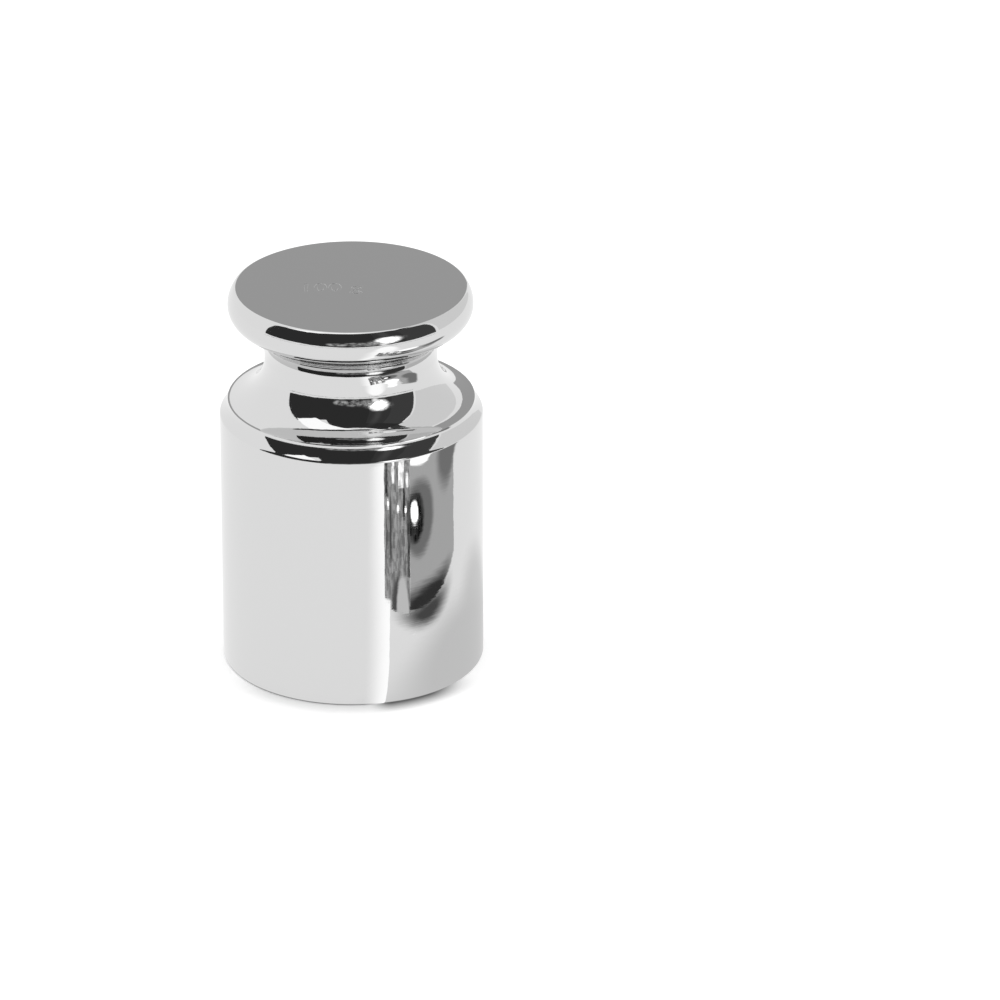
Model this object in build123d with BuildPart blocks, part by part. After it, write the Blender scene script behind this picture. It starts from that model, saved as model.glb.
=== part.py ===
# A calibration weight with a knob, turned in one piece from a steel bar and chrome plated.
# Millimetres, +Z up. The axis of the turning is Z and the foot stands on Z = 0.
import os
from math import cos, radians, sin

from build123d import *

os.makedirs("parts", exist_ok=True)

# Body: a plain cylinder, its foot edge broken.
body_diameter = 23.0
side_height = 23.05
foot_chamfer = 0.2

# The body's upper edge is broken too. A hollow cove then rises from it, slowly at first and
# upright at the end, to a crisp crest.
lip_inset = 0.1
lip_rise = 0.26
cove_slope = 46
cove_radius = 3.1
cove_sweep = 15
riser_radius = 1.06

# The shoulder: a hairline land inside the crest, then one hollow sweep up into the neck.
land_width = 0.15
shoulder_slope = 11.5

# The neck, the waist that fingers or a lifting fork hold.
neck_diameter = 15.1
neck_length = 0.4

# The knob: its hollow underside runs straight into a full, rounded rim.
knob_diameter = 21.4
underside_slope = 22
lower_rim_radius = 1.8
upper_rim_height = 1.55

# The flat face on top, its edge barely broken.
face_diameter = 20.3
face_chamfer = 0.15

body_radius = body_diameter / 2
neck_radius = neck_diameter / 2
knob_radius = knob_diameter / 2
face_radius = face_diameter / 2


def turn_radius(width, slope):
    """The radius of an arc that crosses a width as it turns from a slope to upright."""
    return width / (1 - sin(radians(slope)))


with BuildPart() as weight:
    # One half of the section, with X as the radius and Y as the height.
    with BuildSketch(Plane.XZ):
        with BuildLine():
            foot = Line((0, 0), (body_radius - foot_chamfer, 0))
            foot_edge = Line(foot @ 1, (body_radius, foot_chamfer))
            side = Line(foot_edge @ 1, (body_radius, side_height))
            lip_top = (body_radius - lip_inset, side_height + lip_rise)
            lip = Line(side @ 1, lip_top)
            inward_and_up = (-cos(radians(cove_slope)), sin(radians(cove_slope)))
            cove = JernArc(lip @ 1, inward_and_up, cove_radius, -cove_sweep)
            riser = JernArc(cove @ 1, cove % 1, riser_radius, cove_slope + cove_sweep - 90)

            land_length = land_width / cos(radians(shoulder_slope))
            land = PolarLine(riser @ 1, land_length, 180 - shoulder_slope)
            groove_radius = turn_radius((land @ 1).X - neck_radius, shoulder_slope)
            groove = JernArc(land @ 1, land % 1, groove_radius, shoulder_slope - 90)
            neck = PolarLine(groove @ 1, neck_length, 90)

            # The underside's arc and the rim's arc share the width from the neck to the rim.
            both_radii = turn_radius(knob_radius - neck_radius, underside_slope)
            underside_radius = both_radii - lower_rim_radius
            underside = JernArc(neck @ 1, neck % 1, underside_radius, underside_slope - 90)
            lower_rim = JernArc(underside @ 1, underside % 1, lower_rim_radius, 90 - underside_slope)

            face_height = (lower_rim @ 1).Y + upper_rim_height
            rim_top = (face_radius, face_height - face_chamfer)
            upper_rim = TangentArc(lower_rim @ 1, rim_top, tangent=lower_rim % 1)
            face_edge = Line(upper_rim @ 1, (face_radius - face_chamfer, face_height))
            face = Line(face_edge @ 1, (0, face_height))
            axis = Line(face @ 1, foot @ 0)
        make_face()
    revolve(axis=Axis.Z)

weight.part.label = "weight"
export_step(weight.part, "parts/weight.step")

print("volume", round(weight.part.volume), "mm3")
print("height", round(face_height, 2), "mm")
print("crest at radius", round((riser @ 1).X, 3), "and height", round((riser @ 1).Y, 3), "mm")
print("groove radii", round(groove_radius, 2), "and", round(underside_radius, 2), "mm")
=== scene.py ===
import math

import bpy
from mathutils import Matrix, Vector


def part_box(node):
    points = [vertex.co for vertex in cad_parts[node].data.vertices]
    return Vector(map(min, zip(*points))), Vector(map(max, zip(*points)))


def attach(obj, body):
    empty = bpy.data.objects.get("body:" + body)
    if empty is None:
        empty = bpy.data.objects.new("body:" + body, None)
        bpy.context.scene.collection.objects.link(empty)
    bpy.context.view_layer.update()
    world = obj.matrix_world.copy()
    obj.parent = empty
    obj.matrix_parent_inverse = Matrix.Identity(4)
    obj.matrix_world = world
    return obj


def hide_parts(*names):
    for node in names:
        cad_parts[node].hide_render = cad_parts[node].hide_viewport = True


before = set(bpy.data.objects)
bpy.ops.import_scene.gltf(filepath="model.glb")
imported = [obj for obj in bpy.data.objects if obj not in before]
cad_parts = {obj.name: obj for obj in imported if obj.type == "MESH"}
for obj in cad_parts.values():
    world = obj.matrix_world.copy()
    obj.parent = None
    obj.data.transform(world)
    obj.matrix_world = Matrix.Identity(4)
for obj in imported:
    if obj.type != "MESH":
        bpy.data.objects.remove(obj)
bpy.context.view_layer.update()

bl_info = {
    "name": "Chrome Calibration Weight",
    "version": (1, 0, 0),
    "blender": (4, 5, 0),
    "location": "3D View > Sidebar > Weight",
    "description": "Turns, marks and plates a knobbed calibration weight and sets it on a white table",
    "category": "Object",
}

NODE = "weight"
BODY = "root"
NODE_LOW, NODE_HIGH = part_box(NODE)
MM = 0.001
UPRIGHT = math.radians(90)
BOX_TOLERANCE = 0.05 * MM
SMOOTH_ANGLE = math.radians(12)
OVAL_CORNERS = 64
FAN_STEP = math.radians(4)
SIDE_PIECES = 24
WHITE = (1, 1, 1, 1)

# The plating's haze, and how far the polishing lines lean so that they cross the flat parts too.
HAZE_WIDTH = 3.5 * MM
HAZE_BLUR = 0.05
LINE_LEAN = -0.6
LINE_ROUND = 10 * MM

# The painted shade on the table at the foot: its depth at the left and at the right, the azimuths over
# which it deepens and those over which it ends, and how far it reaches.
SHADE_DEPTHS = (0.25, 0.85)
SHADE_DEEPENS = (math.radians(7), math.radians(18))
SHADE_ENDS = (math.radians(35), math.radians(65))
SHADE_REACH = 1.7 * MM

# The table: what the camera sees on top of the lit paint, the even white that the chrome sees, the
# painted shade that darkens that white in the gap under the foot, fading out from a hair inside the foot
# to a hair outside it, and the share of that white in the chrome.
TABLE_PAINT = "#F0F0F0"
TABLE_LIFT = 0.36
TABLE_MIRRORED = 1.02
MIRRORED_SHARE = 0.92
GAP_INSIDE = 0.15 * MM
GAP_OUTSIDE = 0.1 * MM

# Curved cards round the weight: name, azimuths, elevations, distance as a share of the card
# distance, radiance. Angles are in degrees.
DOME_CARDS = (
    ("dark_screen_left", (-82, -36), (-3.2, 51), 1.3, 0.033),
    ("dark_screen", (-36, 85), (-3.2, 73), 1.3, 0.033),
    ("dim_front", (24, 53), (-3.2, 60), 1.27, 0.045),
    ("dark_rail", (85, 121), (56, 68), 1.3, 0.05),
    ("dim_side", (53, 85), (-3.2, 60), 1.25, 0.06),
    ("right_wall", (88, 150), (-1, 62), 1.2, 0.83),
)

# The thin dark line where the table ends, at a distance of its own in metres.
TABLE_LINE = ("table_line", (-82, 85), (0.04, 0.45), 0.25, 0.05)

# Flat cards: name, azimuth, elevation, width, height, roll, distance as a share of the card
# distance, radiance, and then how the glow fades and breaks up.
FLAT_CARDS = (
    ("window", 36, 17, 30, 34, 0, 0.98, 2.4,
     {"oval": True, "soft": 0.6, "mottle": 0.5, "grain": 0.07}),
    ("window_sill", 31, 3, 12, 12, 0, 0.97, 1.15, {"oval": True, "soft": 0.8}),
    ("window_streak", 36, 40, 12, 70, 0, 0.995, 0.075, {"oval": True, "soft": 0.9}),
    ("window_glow", 32, 14, 52, 30, 20, 0.99, 0.6,
     {"oval": True, "soft": 0.9, "mottle": 0.9, "grain": 0.06}),
    ("haze", 6, 9, 44, 22, 0, 1.0, 0.35,
     {"oval": True, "soft": 0.6, "mottle": 0.9, "grain": 0.12}),
    ("desk", -12, 8, 22, 16, 0, 0.98, 0.4,
     {"oval": True, "soft": 0.5, "mottle": 0.8, "grain": 0.12}),
    ("softbox", -59.6, 71, 46, 22, 82.4, 1.0, 1.4, {}),
    ("grey_card", 174.3, 30, 30.5, 60, 0, 1.0, 0.42, {}),
)

# Oval cards that lie on the table: name, middle, length, width, turn in degrees, radiance, soft
# edge, height. Lengths are in millimetres.
TABLE_CARDS = (
    ("side_dim", (12, -1), 34, 34, 0, 0.73, 0.5, 0.012),
    ("side_dim_back", (21, 9), 26, 26, 0, 0.78, 0.7, 0.011),
    ("pool_far", (62, -98), 190, 46, -57.7, 1.4, 0.5, 0.014),
    ("side_shadow", (22.8, -14.8), 32, 8, 51, 0.08, 0.8, 0.02),
)

# The upright cards at the weight's right, a painted reflection of a second weight lying there, with
# painted shade and shadow on it and painted glints: name, gap, span along the group, span of heights,
# radiance, oval or not, soft edge, mottle. Lengths are in millimetres.
SIDE_AZIMUTH = 51
SIDE_DISTANCE = 28.7
SIDE_GRAIN = 0.9 * MM
SIDE_CARDS = (
    ("side_wall", 0.0, (-4.0, 21), (0.2, 18.4), 0.51, False, 0.0, 0.0),
    ("side_wall_shade", 0.05, (6.3, 26), (7.8, 19.5), 0.22, True, 0.4, 0.0),
    # Painted shadow at the foot of the second weight.
    ("side_wall_painted_shadow", 0.1, (-13.5, 21), (-3, 3), 0.04, True, 0.6, 0.0),
    ("side_gap", 0.12, (-6.3, 5.5), (13.9, 19.5), 1.6, True, 0.15, 0.0),
    ("side_disc_rim", 0.15, (-7.5, 7), (4.4, 13.4), 0.21, True, 0.3, 0.0),
    ("side_disc", 0.2, (-6, 2.2), (6.2, 12), 0.05, True, 0.3, 0.9),
    ("side_disc_core", 0.25, (-4, -0.6), (8.2, 10.9), 2.2, True, 0.4, 0.0),
    ("side_post", 0.8, (-14.2, -4.1), (0.8, 17), 0.42, False, 0.0, 0.5),
    ("side_post_1", 0.85, (-13.6, -12.8), (4.5, 9.5), 0.12, True, 0.6, 0.0),
    ("side_post_2", 0.85, (-12.2, -11), (3, 13), 0.1, True, 0.6, 0.0),
    ("side_post_3", 0.85, (-5.1, -4.1), (3.5, 11), 0.12, False, 0.0, 0.5),
    ("side_post_4", 0.85, (-6.9, -5.8), (8.5, 13), 0.03, True, 0.4, 0.0),
    ("side_post_5", 0.85, (-13.7, -12.8), (11, 17), 0.12, False, 0.0, 0.8),
    ("side_post_6", 0.85, (-11.2, -10.2), (12.5, 17), 1.5, False, 0.0, 0.4),
    ("side_post_7", 0.85, (-8.5, -6.4), (12.3, 17), 1.5, False, 0.0, 0.4),
    ("side_post_8", 0.85, (-5.8, -4.3), (12.2, 14), 1.5, True, 0.5, 0.0),
    # Painted glints on the second weight's knob.
    ("side_painted_glint_1", 0.9, (-13.1, -12.1), (9.7, 10.8), 2.2, True, 0.5, 0.0),
    ("side_painted_glint_2", 0.9, (-9.2, -8.1), (9.7, 10.7), 2.2, True, 0.5, 0.0),
    ("side_painted_glint_3", 0.9, (-6.2, -5.2), (9.7, 10.6), 2.2, True, 0.5, 0.0),
    ("side_arch", 0.95, (-12.2, -3.7), (-4.5, 4.5), 0.1, True, 0.35, 0.0),
    ("side_arch_open", 1.0, (-9.7, -4.2), (-4, 4.4), 0.7, True, 0.3, 0.0),
)


# ---- What a user would change


class TurnedSizes(bpy.types.PropertyGroup):
    """The turned outline. The body's width and the whole height come from the frame."""

    body_radius: bpy.props.FloatProperty(
        name="Body radius", description="Radius of the plain cylinder",
        default=NODE_HIGH.x, subtype="DISTANCE", unit="LENGTH", precision=5)
    height: bpy.props.FloatProperty(
        name="Height", description="From the foot to the flat face of the knob",
        default=NODE_HIGH.z - NODE_LOW.z, subtype="DISTANCE", unit="LENGTH", precision=5)
    foot_edge: bpy.props.FloatProperty(
        name="Foot edge", description="Radius that breaks the edge of the foot",
        default=0.25 * MM, subtype="DISTANCE", unit="LENGTH", precision=5)
    lip_radius: bpy.props.FloatProperty(
        name="Lip radius", description="Small round on the upper edge of the body",
        default=0.37 * MM, subtype="DISTANCE", unit="LENGTH", precision=5)
    cove_slope: bpy.props.FloatProperty(
        name="Cove slope", description="Slope at which the hollow cove leaves that round",
        default=math.radians(46), subtype="ANGLE", unit="ROTATION")
    cove_radius: bpy.props.FloatProperty(
        name="Cove radius", description="Radius of the cove",
        default=3.1 * MM, subtype="DISTANCE", unit="LENGTH", precision=5)
    cove_sweep: bpy.props.FloatProperty(
        name="Cove sweep", description="How far the cove steepens before the riser",
        default=math.radians(15), subtype="ANGLE", unit="ROTATION")
    riser_radius: bpy.props.FloatProperty(
        name="Riser radius", description="Radius of the riser that ends upright at the crest",
        default=1.06 * MM, subtype="DISTANCE", unit="LENGTH", precision=5)
    land_width: bpy.props.FloatProperty(
        name="Land width", description="Width of the straight land inside the crest",
        default=0.15 * MM, subtype="DISTANCE", unit="LENGTH", precision=5)
    land_slope: bpy.props.FloatProperty(
        name="Land slope", description="Slope of that land",
        default=math.radians(6.5), subtype="ANGLE", unit="ROTATION")
    shoulder_slope: bpy.props.FloatProperty(
        name="Shoulder slope", description="How steeply the shoulder starts to rise inwards",
        default=math.radians(11.5), subtype="ANGLE", unit="ROTATION")
    neck_radius: bpy.props.FloatProperty(
        name="Neck radius", description="Radius at the waist",
        default=7.55 * MM, subtype="DISTANCE", unit="LENGTH", precision=5)
    neck_length: bpy.props.FloatProperty(
        name="Neck length", description="Straight stretch between the two hollow sweeps",
        default=0.4 * MM, subtype="DISTANCE", unit="LENGTH", precision=5)
    knob_radius: bpy.props.FloatProperty(
        name="Knob radius", description="Radius at the widest of the knob's rim",
        default=10.7 * MM, subtype="DISTANCE", unit="LENGTH", precision=5)
    underside_slope: bpy.props.FloatProperty(
        name="Underside slope", description="Slope at which the knob's underside meets its rim",
        default=math.radians(22), subtype="ANGLE", unit="ROTATION")
    lower_rim_radius: bpy.props.FloatProperty(
        name="Lower rim radius", description="Round below the widest of the rim",
        default=1.8 * MM, subtype="DISTANCE", unit="LENGTH", precision=5)
    upper_rim_radius: bpy.props.FloatProperty(
        name="Upper rim radius", description="Round above the widest of the rim",
        default=2.3 * MM, subtype="DISTANCE", unit="LENGTH", precision=5)
    upper_rim_height: bpy.props.FloatProperty(
        name="Upper rim height", description="From the widest of the rim to the flat face",
        default=1.55 * MM, subtype="DISTANCE", unit="LENGTH", precision=5)
    face_edge: bpy.props.FloatProperty(
        name="Face edge", description="Radius that breaks the edge of the flat face",
        default=0.38 * MM, subtype="DISTANCE", unit="LENGTH", precision=5)
    turns: bpy.props.IntProperty(
        name="Turns", description="Steps of the revolve round the axis",
        default=240, min=48, max=360)
    arc_step: bpy.props.FloatProperty(
        name="Arc step", description="Angle between the points of a round",
        default=math.radians(1.5), subtype="ANGLE", unit="ROTATION")


class MarkSizes(bpy.types.PropertyGroup):
    """The nominal mass, cut into the flat face."""

    words: bpy.props.StringProperty(
        name="Mark", description="What the face says: the nominal mass and nothing else",
        default="100 g")
    letter_size: bpy.props.FloatProperty(
        name="Letter size", description="Size of the type, 1.4 times the height of a figure",
        default=2.5 * MM, subtype="DISTANCE", unit="LENGTH", precision=5)
    depth: bpy.props.FloatProperty(
        name="Depth", description="How deep the figures are cut",
        default=0.02 * MM, subtype="DISTANCE", unit="LENGTH", precision=6)
    place: bpy.props.FloatVectorProperty(
        name="Place", description="Middle of the mark, from the middle of the face",
        default=(-1.7 * MM, -0.4 * MM), size=2, subtype="XYZ", unit="LENGTH", precision=5)


class ChromeFinish(bpy.types.PropertyGroup):
    """Bright chrome over polished steel."""

    roughness: bpy.props.FloatProperty(
        name="Roughness", description="Blur of the cleanest plating", default=0.03, min=0.0, max=1.0)
    wave_width: bpy.props.FloatProperty(
        name="Wave width", description="Width of the slow waves that buffing leaves",
        default=2.4 * MM, subtype="DISTANCE", unit="LENGTH", precision=5)
    wave_height: bpy.props.FloatProperty(
        name="Wave height", description="Height of those waves",
        default=0.012 * MM, subtype="DISTANCE", unit="LENGTH", precision=7)
    line_width: bpy.props.FloatProperty(
        name="Line width", description="Spacing of the polishing lines that run round the axis",
        default=0.3 * MM, subtype="DISTANCE", unit="LENGTH", precision=5)
    streak_length: bpy.props.FloatProperty(
        name="Streak length", description="Length of one such line",
        default=2.5 * MM, subtype="DISTANCE", unit="LENGTH", precision=5)
    line_height: bpy.props.FloatProperty(
        name="Line height", description="Height of the polishing lines",
        default=0.0017 * MM, subtype="DISTANCE", unit="LENGTH", precision=7)


class StudioStage(bpy.types.PropertyGroup):
    """The white table and the cards that the chrome reflects."""

    floor_size: bpy.props.FloatProperty(
        name="Floor size", description="Side of the white table top",
        default=1.2, subtype="DISTANCE", unit="LENGTH")
    card_distance: bpy.props.FloatProperty(
        name="Card distance", description="From the weight to the cards round it",
        default=1.5, subtype="DISTANCE", unit="LENGTH")
    focal_length: bpy.props.FloatProperty(
        name="Focal length", description="Of the lens, in millimetres on a sensor 36 mm wide",
        default=288.0, min=1.0)
    camera_pitch: bpy.props.FloatProperty(
        name="Camera pitch", description="How far the camera looks down",
        default=math.radians(24.8), subtype="ANGLE", unit="ROTATION")
    camera_place: bpy.props.FloatVectorProperty(
        name="Camera place", description="Where the camera stands, from the middle of the foot",
        default=(0.01298, -0.63768, 0.30912), size=3, subtype="TRANSLATION", unit="LENGTH", precision=4)


# ---- Small helpers


def linear(code):
    """An sRGB hex colour as the linear RGBA that Blender works in."""
    channels = [int(code[i:i + 2], 16) / 255 for i in (1, 3, 5)]
    return [c / 12.92 if c <= 0.04045 else ((c + 0.055) / 1.055) ** 2.4 for c in channels] + [1.0]


def add_node(tree, kind, inputs=None, **settings):
    """Adds a node with its settings, and links or fills the inputs given by name or number."""
    made = tree.nodes.new(kind)
    for name, value in settings.items():
        setattr(made, name, value)
    for key, value in (inputs or {}).items():
        if isinstance(value, bpy.types.NodeSocket):
            tree.links.new(value, made.inputs[key])
        else:
            made.inputs[key].default_value = value
    return made


def new_material(name):
    """An empty node material."""
    material = bpy.data.materials.new(name)
    material.use_nodes = True
    material.node_tree.nodes.clear()
    return material


def calculate(tree, operation, *values):
    """A sum on sockets or plain numbers."""
    return add_node(
        tree, "ShaderNodeMath", dict(enumerate(values)), operation=operation).outputs[0]


def map_range(tree, value, start, end, low=0.0, high=1.0, kind="SMOOTHSTEP"):
    """Brings a value that goes from start to end to one that goes from low to high."""
    return add_node(
        tree, "ShaderNodeMapRange",
        {"Value": value, "From Min": start, "From Max": end, "To Min": low, "To Max": high},
        interpolation_type=kind).outputs[0]


def object_axes(tree):
    """The place on the object, its separate axes, and the same place brought down to Z 0."""
    place = add_node(tree, "ShaderNodeTexCoord").outputs["Object"]
    axes = add_node(tree, "ShaderNodeSeparateXYZ", {0: place}).outputs
    flat = add_node(tree, "ShaderNodeCombineXYZ", {0: axes[0], 1: axes[1]}).outputs[0]
    return place, axes, flat


def length_of(tree, vector):
    """The length of a vector."""
    return add_node(
        tree, "ShaderNodeVectorMath", {0: vector}, operation="LENGTH").outputs["Value"]


def azimuth_of(tree, axes):
    """The azimuth about the Z axis, 0 towards the camera."""
    return calculate(tree, "ARCTAN2", axes[0], calculate(tree, "MULTIPLY", axes[1], -1.0))


def glow_of(tree, strength):
    """A white glow."""
    return add_node(tree, "ShaderNodeEmission", {"Color": WHITE, "Strength": strength}).outputs[0]


def blend(tree, share, first, second):
    """Two shaders, the second by its share."""
    return add_node(tree, "ShaderNodeMixShader", {0: share, 1: first, 2: second}).outputs[0]


def fade(tree, cover, shader):
    """A shader that is clear where its cover is 0."""
    return blend(tree, cover, add_node(tree, "ShaderNodeBsdfTransparent").outputs[0], shader)


def start_point(name, place):
    """A new mesh of one selected vertex, left in edit mode. The frame's nodes are deselected first."""
    bpy.ops.object.select_all(action="DESELECT")
    bpy.ops.mesh.primitive_plane_add(size=MM, location=place)
    made = bpy.context.object
    made.name = name
    made.data.name = name
    bpy.ops.object.transform_apply(location=True, rotation=True, scale=True)
    bpy.ops.object.mode_set(mode="EDIT")
    bpy.ops.mesh.select_all(action="SELECT")
    bpy.ops.mesh.merge(type="CENTER")
    return made


def sweep(turn, centre, axis, step):
    """Spins what is selected. A positive turn goes by the right-hand rule about the axis."""
    steps = max(2, math.ceil(abs(turn) / step))
    bpy.ops.mesh.spin(steps=steps, angle=-turn, center=centre, axis=axis)


class Outline:
    """A pen that draws a turned outline in XZ by extruding and spinning one point."""

    def __init__(self, name, x, z):
        self.piece = start_point(name, (x, 0, z))
        self.x = x
        self.z = z
        self.heading = 0.0

    def line(self, length, pieces=1):
        """Straight on, in equal pieces."""
        step = (math.cos(self.heading) * length / pieces, 0, math.sin(self.heading) * length / pieces)
        for _ in range(pieces):
            bpy.ops.mesh.extrude_region_move(TRANSFORM_OT_translate={"value": step})
        self.x += step[0] * pieces
        self.z += step[2] * pieces

    def arc(self, radius, turn, step):
        """Round an arc. A turn to the left, seen from the front, is positive."""
        side = math.copysign(1, turn)
        x = self.x - side * radius * math.sin(self.heading)
        z = self.z + side * radius * math.cos(self.heading)
        sweep(turn, (x, 0, z), (0, -1, 0), step)
        self.heading += turn
        self.x = x + side * radius * math.sin(self.heading)
        self.z = z - side * radius * math.cos(self.heading)


# ---- The weight


def turn_radius(width, slope):
    """The radius of an arc that crosses a width as it turns from a slope to upright."""
    return width / (1 - math.sin(slope))


def turn_weight(s):
    """Draws the outline from the foot up to the knob's flat face, and spins it round the axis."""
    cove_top = s.cove_slope + s.cove_sweep
    crest_radius = (
        s.body_radius
        - s.lip_radius * (1 - math.sin(s.cove_slope))
        - s.cove_radius * (math.sin(cove_top) - math.sin(s.cove_slope))
        - s.riser_radius * (1 - math.sin(cove_top)))
    groove_radius = turn_radius(crest_radius - s.land_width - s.neck_radius, s.shoulder_slope)
    both_radii = turn_radius(s.knob_radius - s.neck_radius, s.underside_slope)
    underside_radius = both_radii - s.lower_rim_radius
    above_side = (
        s.lip_radius * math.cos(s.cove_slope)
        + s.cove_radius * (math.cos(s.cove_slope) - math.cos(cove_top))
        + s.riser_radius * math.cos(cove_top)
        + s.land_width * math.tan(s.land_slope)
        + groove_radius * math.cos(s.shoulder_slope)
        + s.neck_length
        + both_radii * math.cos(s.underside_slope)
        + s.upper_rim_height)

    pen = Outline("weight_turned", s.body_radius - s.foot_edge, 0)
    pen.arc(s.foot_edge, UPRIGHT, 6 * s.arc_step)
    pen.line(s.height - above_side - s.foot_edge, SIDE_PIECES)
    pen.arc(s.lip_radius, UPRIGHT - s.cove_slope, 4 * s.arc_step)
    pen.arc(s.cove_radius, -s.cove_sweep, s.arc_step)
    pen.arc(s.riser_radius, cove_top - UPRIGHT, s.arc_step)
    pen.heading = math.pi - s.land_slope
    pen.line(s.land_width / math.cos(s.land_slope), 2)
    pen.heading = math.pi - s.shoulder_slope
    pen.arc(groove_radius, s.shoulder_slope - UPRIGHT, s.arc_step)
    pen.line(s.neck_length, 2)
    pen.arc(underside_radius, s.underside_slope - UPRIGHT, s.arc_step)
    pen.arc(s.lower_rim_radius, UPRIGHT - s.underside_slope, s.arc_step)
    rim_sweep = math.asin((s.upper_rim_height - s.face_edge) / (s.upper_rim_radius - s.face_edge))
    pen.arc(s.upper_rim_radius, rim_sweep, s.arc_step)
    pen.arc(s.face_edge, UPRIGHT - rim_sweep, 3 * s.arc_step)

    bpy.ops.mesh.select_all(action="SELECT")
    sweep(math.tau, (0, 0, 0), (0, 0, 1), math.tau / s.turns)
    bpy.ops.mesh.select_all(action="SELECT")
    bpy.ops.mesh.remove_doubles(threshold=0.002 * MM)
    bpy.ops.mesh.fill_holes(sides=0)
    bpy.ops.mesh.normals_make_consistent(inside=False)
    bpy.ops.object.mode_set(mode="OBJECT")
    return pen.piece


def resize(pieces, factor):
    """Scales pieces about the origin and applies it."""
    bpy.ops.object.select_all(action="DESELECT")
    for piece in pieces:
        piece.scale = (factor, factor, factor)
        piece.select_set(True)
    bpy.context.view_layer.objects.active = pieces[0]
    bpy.ops.object.transform_apply(location=True, rotation=True, scale=True)


def cut_mark(piece, top, s):
    """Cuts the nominal mass into the flat face, with sloping walls."""
    bpy.ops.object.select_all(action="DESELECT")
    bpy.ops.object.text_add()
    text = bpy.context.object
    text.data.body = s.words
    text.data.size = s.letter_size
    text.data.align_x = "CENTER"
    text.data.align_y = "CENTER"
    text.data.resolution_u = 6
    text.data.extrude = s.depth
    text.data.bevel_depth = s.depth
    bpy.ops.object.convert(target="MESH")
    cutter = bpy.context.object
    bpy.ops.object.mode_set(mode="EDIT")
    bpy.ops.mesh.select_all(action="SELECT")
    bpy.ops.mesh.remove_doubles(threshold=0.0005 * MM)
    bpy.ops.mesh.normals_make_consistent(inside=False)
    bpy.ops.transform.translate(value=(s.place[0], s.place[1], top + s.depth))
    bpy.ops.object.mode_set(mode="OBJECT")

    # The cut is fine work, so it is made a thousand times larger.
    resize([piece, cutter], 1 / MM)
    cut = piece.modifiers.new("mark", "BOOLEAN")
    cut.operation = "DIFFERENCE"
    cut.solver = "FAST"
    cut.object = cutter
    bpy.ops.object.modifier_apply(modifier=cut.name)
    bpy.data.objects.remove(cutter)
    resize([piece], MM)


def chrome_plating(s):
    """Bright chrome: slow buffing waves, faint turning lines and a little haze."""
    material = new_material("chrome_plating")
    tree = material.node_tree
    place, axes, flat = object_axes(tree)

    # The noise of the lines is stretched round the axis and packed close along it.
    around = add_node(tree, "ShaderNodeVectorMath", {0: flat}, operation="NORMALIZE")
    around = add_node(
        tree, "ShaderNodeVectorMath", {0: around.outputs[0], "Scale": LINE_ROUND},
        operation="SCALE")
    along = calculate(tree, "MULTIPLY_ADD", length_of(tree, flat), LINE_LEAN, axes[2])
    along = calculate(tree, "MULTIPLY", along, s.streak_length / s.line_width)
    along = add_node(tree, "ShaderNodeCombineXYZ", {2: along})
    streaks = add_node(
        tree, "ShaderNodeVectorMath", {0: around.outputs[0], 1: along.outputs[0]}, operation="ADD")

    waves = add_node(
        tree, "ShaderNodeTexNoise",
        {"Vector": place, "Scale": 1 / s.wave_width, "Detail": 2.0, "Roughness": 0.45})
    lines = add_node(
        tree, "ShaderNodeTexNoise",
        {"Vector": streaks.outputs[0], "Scale": 1 / s.streak_length, "Detail": 3.0})
    haze = add_node(
        tree, "ShaderNodeTexNoise",
        {"Vector": place, "Scale": 1 / HAZE_WIDTH, "Detail": 4.0, "Roughness": 0.6})

    bump = add_node(
        tree, "ShaderNodeBump",
        {"Strength": 1.0, "Distance": s.wave_height, "Height": waves.outputs[0]})
    bump = add_node(
        tree, "ShaderNodeBump",
        {"Strength": 1.0, "Distance": s.line_height, "Height": lines.outputs[0],
         "Normal": bump.outputs[0]})
    roughness = map_range(
        tree, haze.outputs[0], 0.5, 0.8, s.roughness, s.roughness + HAZE_BLUR, "LINEAR")
    chrome = add_node(
        tree, "ShaderNodeBsdfPrincipled",
        {"Base Color": linear("#D9D9D9"), "Metallic": 1.0, "Roughness": roughness,
         "Normal": bump.outputs[0]})
    add_node(tree, "ShaderNodeOutputMaterial", {"Surface": chrome.outputs[0]})
    return material


class WEIGHT_OT_turn(bpy.types.Operator):
    """Turn the weight, cut its mark and plate it"""

    bl_idname = "weight.turn"
    bl_label = "Turn the weight"

    def execute(self, context):
        scene = context.scene
        piece = turn_weight(scene.turned_sizes)
        cut_mark(piece, scene.turned_sizes.height, scene.mark_sizes)
        bpy.ops.object.shade_smooth_by_angle(angle=SMOOTH_ANGLE)
        piece.data.materials.append(chrome_plating(scene.chrome_finish))

        points = [vertex.co for vertex in piece.data.vertices]
        low = Vector([min(point[i] for point in points) for i in range(3)])
        high = Vector([max(point[i] for point in points) for i in range(3)])
        if max((low - NODE_LOW).length, (high - NODE_HIGH).length) > BOX_TOLERANCE:
            raise RuntimeError(f"the turned piece reaches {low} to {high}, off the CAD node's box")
        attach(piece, BODY)
        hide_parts(NODE)
        return {"FINISHED"}


# ---- The stage


def direction(azimuth, elevation):
    """The direction of a card in degrees. Azimuth 0 is the camera's side and grows to its right."""
    a = math.radians(azimuth)
    e = math.radians(elevation)
    return Vector((math.cos(e) * math.sin(a), -math.cos(e) * math.cos(a), math.sin(e)))


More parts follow.
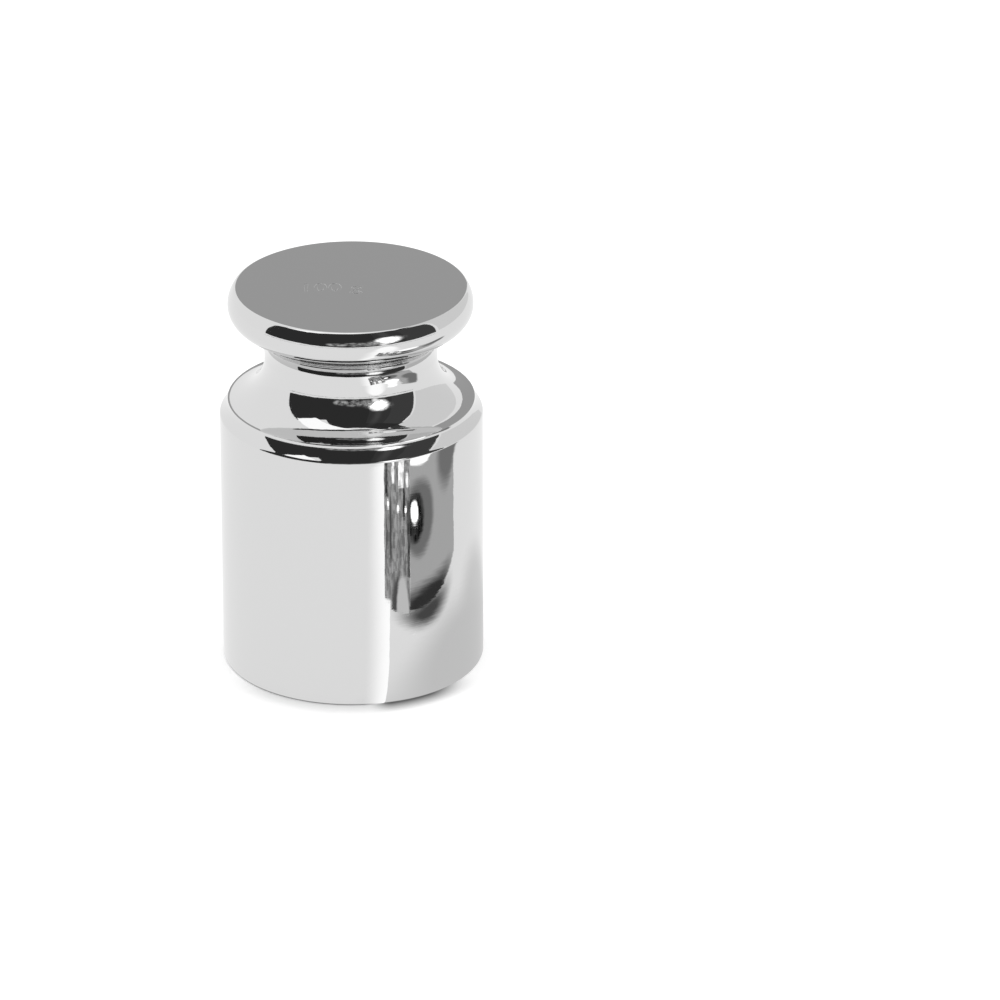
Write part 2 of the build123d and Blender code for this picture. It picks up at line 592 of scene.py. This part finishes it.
def glow(name, radiance, soft=0.0, mottle=0.0, grain=0.0):
    """An even glow, for a card that only the chrome sees. Soft fades the outer part of a round card,
    and mottle breaks the glow up into patches as wide as the grain."""
    material = new_material(name)
    tree = material.node_tree
    strength = radiance
    if mottle:
        place = add_node(tree, "ShaderNodeTexCoord").outputs["Object"]
        patches = add_node(
            tree, "ShaderNodeTexNoise",
            {"Vector": place, "Scale": 1 / grain, "Detail": 3.0, "Roughness": 0.6})
        strength = map_range(
            tree, patches.outputs[0], 0.38, 0.62,
            radiance * (1 - mottle), radiance * (1 + 0.4 * mottle), "LINEAR")
    light = glow_of(tree, strength)
    if soft:
        spot = add_node(tree, "ShaderNodeTexCoord").outputs["UV"]
        reach = add_node(
            tree, "ShaderNodeVectorMath", {0: spot, 1: (0.5, 0.5, 0)}, operation="DISTANCE")
        cover = map_range(tree, reach.outputs["Value"], 0.5, 0.5 - soft / 2)
        light = fade(tree, cover, light)
    add_node(tree, "ShaderNodeOutputMaterial", {"Surface": light})
    return material


def only_reflected(card, material):
    """A card stands outside the view and lights nothing: the chrome reflects it."""
    card.data.materials.append(material)
    card.visible_camera = False
    card.visible_diffuse = False
    card.visible_shadow = False


def blank_card(name, oval):
    """A card one metre wide at the origin, square or oval, for its maker to place and scale."""
    bpy.ops.object.select_all(action="DESELECT")
    if oval:
        bpy.ops.mesh.primitive_circle_add(
            vertices=OVAL_CORNERS, radius=0.5, fill_type="NGON", calc_uvs=True)
    else:
        bpy.ops.mesh.primitive_plane_add(size=1)
    card = bpy.context.object
    card.name = name
    card.data.name = name
    return card


def fix_card(card, place, turn, width, height):
    """Places, turns and scales a blank card, and applies it."""
    card.location = place
    card.rotation_euler = turn
    card.scale = (width, height, 1)
    bpy.ops.object.transform_apply(location=True, rotation=True, scale=True)


def dome_card(name, azimuths, elevations, distance, radiance):
    """A curved card, part of a sphere round the weight."""
    card = start_point(name, direction(azimuths[0], elevations[0]) * distance)
    across = direction(azimuths[0] - 90, 0)
    sweep(math.radians(elevations[1] - elevations[0]), (0, 0, 0), across, FAN_STEP)
    bpy.ops.mesh.select_all(action="SELECT")
    sweep(math.radians(azimuths[1] - azimuths[0]), (0, 0, 0), (0, 0, 1), FAN_STEP)
    bpy.ops.object.mode_set(mode="OBJECT")
    only_reflected(card, glow(name, radiance))


def flat_card(name, azimuth, elevation, width, height, roll, distance, radiance,
              oval=False, soft=0.0, mottle=0.0, grain=0.1):
    """A flat card that faces the weight. Its width, height and roll are in degrees as seen from there."""
    towards = direction(azimuth, elevation)
    turn = towards.to_track_quat("Z", "Y").to_matrix() @ Matrix.Rotation(math.radians(roll), 3, "Z")
    card = blank_card(name, oval)
    fix_card(card, towards * distance, turn.to_euler(),
             2 * distance * math.tan(math.radians(width / 2)),
             2 * distance * math.tan(math.radians(height / 2)))
    only_reflected(card, glow(name, radiance, soft, mottle, grain))


def side_card(name, gap, across, heights, radiance, oval=False, soft=0.0, mottle=0.0):
    """One card of the group at the weight's side, in millimetres along the group and above the table.
    The gap brings it nearer than the rearmost card."""
    a = math.radians(SIDE_AZIMUTH)
    middle = sum(across) / 2 * MM
    place = direction(SIDE_AZIMUTH, 0) * (SIDE_DISTANCE - gap) * MM + Vector((
        math.cos(a) * middle, math.sin(a) * middle, sum(heights) / 2 * MM))
    card = blank_card(name, oval)
    fix_card(card, place, (UPRIGHT, 0, a),
             (across[1] - across[0]) * MM, (heights[1] - heights[0]) * MM)
    only_reflected(card, glow(name, radiance, soft, mottle, SIDE_GRAIN))


def table_card(name, place, length, width, turn, radiance, soft, height):
    """An oval card that lies on the table, in millimetres, turned from the X axis."""
    card = blank_card(name, True)
    fix_card(card, (place[0] * MM, place[1] * MM, height * MM), (0, 0, math.radians(turn)),
             length * MM, width * MM)
    only_reflected(card, glow(name, radiance, soft))


def light_pool(apex, azimuths, reach, radiance):
    """A fan of light on the table that swells from its left edge to its right one. The apex and
    the reach are in millimetres."""
    corner = Vector((apex[0], apex[1], 0)) * MM
    lift = Vector((0, 0, 0.015 * MM))
    pool = start_point("light_pool", corner + lift)
    far = direction(azimuths[0], 0) * reach * MM
    bpy.ops.mesh.extrude_region_move(TRANSFORM_OT_translate={"value": far})
    bpy.ops.mesh.select_all(action="SELECT")
    sweep(math.radians(azimuths[1] - azimuths[0]), corner, (0, 0, 1), FAN_STEP)
    bpy.ops.mesh.select_all(action="SELECT")
    bpy.ops.mesh.remove_doubles(threshold=0.001 * MM)
    bpy.ops.object.mode_set(mode="OBJECT")

    material = new_material("light_pool")
    tree = material.node_tree
    place = add_node(tree, "ShaderNodeTexCoord").outputs["Object"]
    from_apex = add_node(
        tree, "ShaderNodeVectorMath", {0: place, 1: corner}, operation="SUBTRACT")
    axes = add_node(tree, "ShaderNodeSeparateXYZ", {0: from_apex.outputs[0]}).outputs
    swell = map_range(tree, azimuth_of(tree, axes), *(math.radians(edge) for edge in azimuths))
    light = fade(tree, swell, glow_of(tree, radiance))
    add_node(tree, "ShaderNodeOutputMaterial", {"Surface": light})
    only_reflected(pool, material)


def painted_foot_shade(tree, radius, azimuth, foot):
    """A painted shade on the table at the foot: 1 in the open and less in the shade. It is painted deeper
    on the right, as if the light came from the left and from behind."""
    start = map_range(tree, azimuth, *SHADE_DEEPENS, *SHADE_DEPTHS)
    end = map_range(tree, calculate(tree, "ABSOLUTE", azimuth), *SHADE_ENDS, 1.0, 0.0)
    reach = map_range(tree, radius, foot, foot + SHADE_REACH, 1.0, 0.0, "LINEAR")
    shade = calculate(tree, "MULTIPLY", calculate(tree, "MULTIPLY", start, end), reach)
    return calculate(tree, "SUBTRACT", 1.0, shade)


def white_table(size, foot):
    """A white table top, white to the camera and in the chrome. It keeps its real shadow at the foot,
    with a painted shade laid over it there, and in the chrome a painted dark gap under the foot.
    """
    bpy.ops.object.select_all(action="DESELECT")
    bpy.ops.mesh.primitive_plane_add(size=size, location=(0, 0, -0.01 * MM))
    table = bpy.context.object
    table.name = "table_top"
    bpy.ops.object.transform_apply(location=True, rotation=True, scale=True)
    material = new_material("white_table")
    tree = material.node_tree
    _, axes, flat = object_axes(tree)
    radius = length_of(tree, flat)
    painted_shade_factor = painted_foot_shade(tree, radius, azimuth_of(tree, axes), foot)

    rays = add_node(tree, "ShaderNodeLightPath").outputs
    # The painted shade darkens the glow that the camera sees and the paint alike.
    lift = calculate(
        tree, "MULTIPLY", calculate(tree, "MULTIPLY", rays["Is Camera Ray"], TABLE_LIFT), painted_shade_factor)
    paint = add_node(
        tree, "ShaderNodeMix", {6: (0, 0, 0, 1), 7: linear(TABLE_PAINT), 0: painted_shade_factor}, data_type="RGBA")
    paint = add_node(tree, "ShaderNodeBsdfDiffuse", {"Color": paint.outputs[2]})
    both = add_node(
        tree, "ShaderNodeAddShader", {0: paint.outputs[0], 1: glow_of(tree, lift)}).outputs[0]

    # In the chrome the table is an even white, with a painted shade that darkens it in the gap under the
    # foot.
    painted_gap_white = map_range(tree, radius, foot - GAP_INSIDE, foot + GAP_OUTSIDE, 0.0, TABLE_MIRRORED)
    mirrored = calculate(tree, "MAXIMUM", rays["Is Glossy Ray"], rays["Is Transmission Ray"])
    share = calculate(tree, "MULTIPLY", mirrored, MIRRORED_SHARE)
    seen = blend(tree, share, both, glow_of(tree, painted_gap_white))
    add_node(tree, "ShaderNodeOutputMaterial", {"Surface": seen})
    table.data.materials.append(material)


def white_room():
    """An even white world, the plain light on everything."""
    world = bpy.data.worlds.new("white_room")
    world.use_nodes = True
    tree = world.node_tree
    tree.nodes.clear()
    light = add_node(
        tree, "ShaderNodeBackground", {"Color": WHITE, "Strength": 1.0})
    add_node(tree, "ShaderNodeOutputWorld", {"Surface": light.outputs[0]})
    bpy.context.scene.world = world


def hang_cards(far):
    """All the cards that the chrome reflects, from the distant ones to those beside the weight."""
    for name, azimuths, elevations, share, radiance in DOME_CARDS:
        dome_card(name, azimuths, elevations, far * share, radiance)
    dome_card(*TABLE_LINE)
    for name, azimuth, elevation, width, height, roll, share, radiance, look in FLAT_CARDS:
        flat_card(name, azimuth, elevation, width, height, roll, far * share, radiance, **look)
    light_pool((0, -7), (12, 35.5), 60, 1.42)
    for card in SIDE_CARDS:
        side_card(*card)
    for card in TABLE_CARDS:
        table_card(*card)


def place_camera(scene, s):
    """A long lens that looks slightly down on the weight."""
    camera = bpy.data.objects.new("camera", bpy.data.cameras.new("camera"))
    camera.data.lens = s.focal_length
    camera.data.sensor_width = 36.0
    camera.data.clip_start = 0.01
    camera.data.clip_end = 20.0
    camera.location = s.camera_place
    camera.rotation_euler = (UPRIGHT - s.camera_pitch, 0, 0)
    scene.collection.objects.link(camera)
    scene.camera = camera


class WEIGHT_OT_light(bpy.types.Operator):
    """Lay the white table, hang the cards and place the camera"""

    bl_idname = "weight.light"
    bl_label = "Set the stage"

    def execute(self, context):
        s = context.scene.studio_stage
        white_table(s.floor_size, context.scene.turned_sizes.body_radius)
        white_room()
        hang_cards(s.card_distance)
        place_camera(context.scene, s)
        context.scene.view_settings.view_transform = "Standard"
        return {"FINISHED"}


class WEIGHT_PT_panel(bpy.types.Panel):
    """Sizes, finish and stage, with a button for each step"""

    bl_idname = "WEIGHT_PT_panel"
    bl_label = "Calibration weight"
    bl_space_type = "VIEW_3D"
    bl_region_type = "UI"
    bl_category = "Weight"

    def draw(self, context):
        scene = context.scene
        for group in (scene.turned_sizes, scene.mark_sizes, scene.chrome_finish):
            box = self.layout.box()
            for name in group.__annotations__:
                box.prop(group, name)
        self.layout.operator(WEIGHT_OT_turn.bl_idname)
        box = self.layout.box()
        for name in scene.studio_stage.__annotations__:
            box.prop(scene.studio_stage, name)
        self.layout.operator(WEIGHT_OT_light.bl_idname)


GROUPS = {
    "turned_sizes": TurnedSizes,
    "mark_sizes": MarkSizes,
    "chrome_finish": ChromeFinish,
    "studio_stage": StudioStage,
}
CLASSES = (*GROUPS.values(), WEIGHT_OT_turn, WEIGHT_OT_light, WEIGHT_PT_panel)


def register():
    for kind in CLASSES:
        bpy.utils.register_class(kind)
    for name, kind in GROUPS.items():
        setattr(bpy.types.Scene, name, bpy.props.PointerProperty(type=kind))


def unregister():
    for name in GROUPS:
        delattr(bpy.types.Scene, name)
    for kind in reversed(CLASSES):
        bpy.utils.unregister_class(kind)


def main():
    register()
    bpy.ops.weight.turn()
    bpy.ops.weight.light()


if __name__ == "__main__":
    main()
